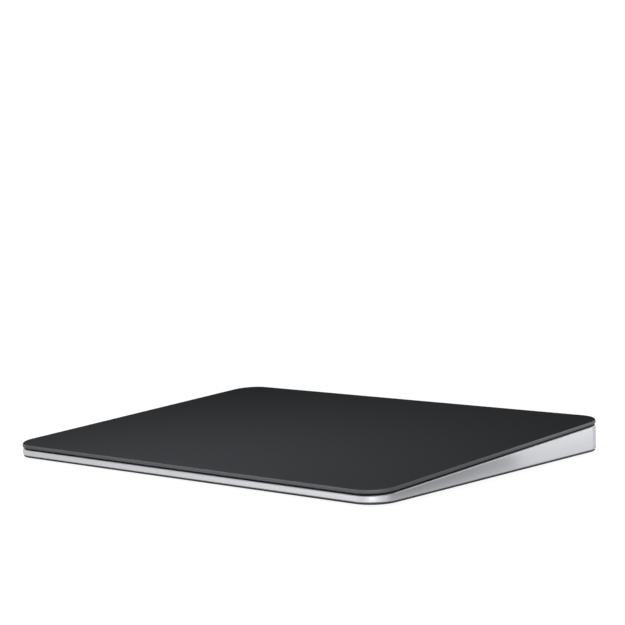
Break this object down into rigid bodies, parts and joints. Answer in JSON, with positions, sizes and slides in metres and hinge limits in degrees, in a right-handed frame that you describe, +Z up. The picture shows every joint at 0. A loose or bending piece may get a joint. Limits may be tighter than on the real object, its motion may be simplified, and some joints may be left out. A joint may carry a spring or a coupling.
{
  "type": "trackpad",
  "caption": "Flat wedge-shaped glass trackpad with an aluminium case, a pressing and shaking glass plate on spring tabs, a charging port and a power switch.",
  "frame": {"origin": "middle of the footprint, at table level", "axes": "+X to the right of the person using it, +Y away from them towards the thick rear edge with the port, +Z up"},
  "size_m": [0.16, 0.115, 0.0109],
  "materials": {
    "glass": "fine matt etched glass, printed black from behind",
    "frame_black": "matt black",
    "aluminium": "bead-blasted and clear anodised, satin",
    "base_plastic": "moulded, fine texture",
    "foot_rubber": "smooth matt",
    "steel": "rolled sheet",
    "spring_steel": "rolled and hardened strip",
    "screw_steel": "zinc-nickel plated",
    "iron": "pressed powder",
    "copper": "enamelled wire",
    "silicone": "clear grey gel",
    "circuit_board": "black-green solder mask",
    "chip": "moulded epoxy",
    "socket_plastic": "moulded",
    "ribbon": "polyimide film",
    "battery_foil": "polymer-coated foil",
    "nickel": "nickel strip",
    "adhesive": "acrylic film",
    "shield_steel": "tin-plated sheet",
    "port_steel": "drawn stainless steel",
    "tongue_plastic": "moulded",
    "gold": "gold-plated contact",
    "switch_plastic": "moulded, satin",
    "switch_body_plastic": "moulded",
    "green_mark": "printed film",
    "gauge_foil": "metal foil on film"
  },
  "bodies": {
    "base": {"case": "aluminium", "base_plate": "base_plastic", "foot_front_left": "foot_rubber", "foot_front_right": "foot_rubber", "foot_rear_left": "foot_rubber", "foot_rear_right": "foot_rubber", "base_screws": "screw_steel", "battery_cell": "battery_foil", "battery_tape": "adhesive", "battery_board": "circuit_board", "battery_tabs": "nickel", "battery_cable": "ribbon", "main_board": "circuit_board", "processor_chip": "chip", "radio_shield": "shield_steel", "antenna_chip": "socket_plastic", "board_chips": "chip", "board_connectors": "socket_plastic", "board_screws": "screw_steel", "port_shell": "port_steel", "port_tongue": "tongue_plastic", "port_contacts": "gold", "port_bracket": "steel", "port_screws": "screw_steel", "switch_body": "switch_body_plastic", "switch_screws": "screw_steel", "force_tab_front_left": "spring_steel", "force_tab_front_right": "spring_steel", "force_tab_rear_left": "spring_steel", "force_tab_rear_right": "spring_steel", "tab_screws": "screw_steel", "strain_gauges": "gauge_foil", "gauge_flex_left": "ribbon", "gauge_flex_right": "ribbon", "haptic_bracket": "steel", "haptic_cores": "iron", "haptic_coils": "copper", "haptic_screws": "screw_steel", "haptic_flex": "ribbon", "touch_flex": "ribbon"},
    "suspension": {"gel_pads": "silicone"},
    "touch_plate": {"glass_surface": "glass", "glass_frame": "frame_black", "glass_adhesive": "adhesive", "sensor_board": "circuit_board", "stiffener_plate": "steel", "haptic_armature": "iron", "sensor_chips": "chip"},
    "power_slider": {"switch_slider": "switch_plastic", "switch_on_mark": "green_mark"}
  },
  "joints": [
    {"name": "touch_press", "type": "slide", "parent": "base", "child": "suspension", "axis": [0, -0.0521, 0.9986], "range_m": [-0.0002, 0], "stiffness_N_per_m": 15000, "springref_m": 0.00012, "deforming": ["force_tab_front_left", "force_tab_front_right", "force_tab_rear_left", "force_tab_rear_right", "touch_flex"]},
    {"name": "haptic_shake", "type": "slide", "parent": "suspension", "child": "touch_plate", "axis": [1, 0, 0], "range_m": [-0.0001, 0.0001], "stiffness_N_per_m": 8000},
    {"name": "power_switch", "type": "slide", "parent": "base", "child": "power_slider", "axis": [1, 0, 0], "range_m": [0, 0.0026]}
  ]
}
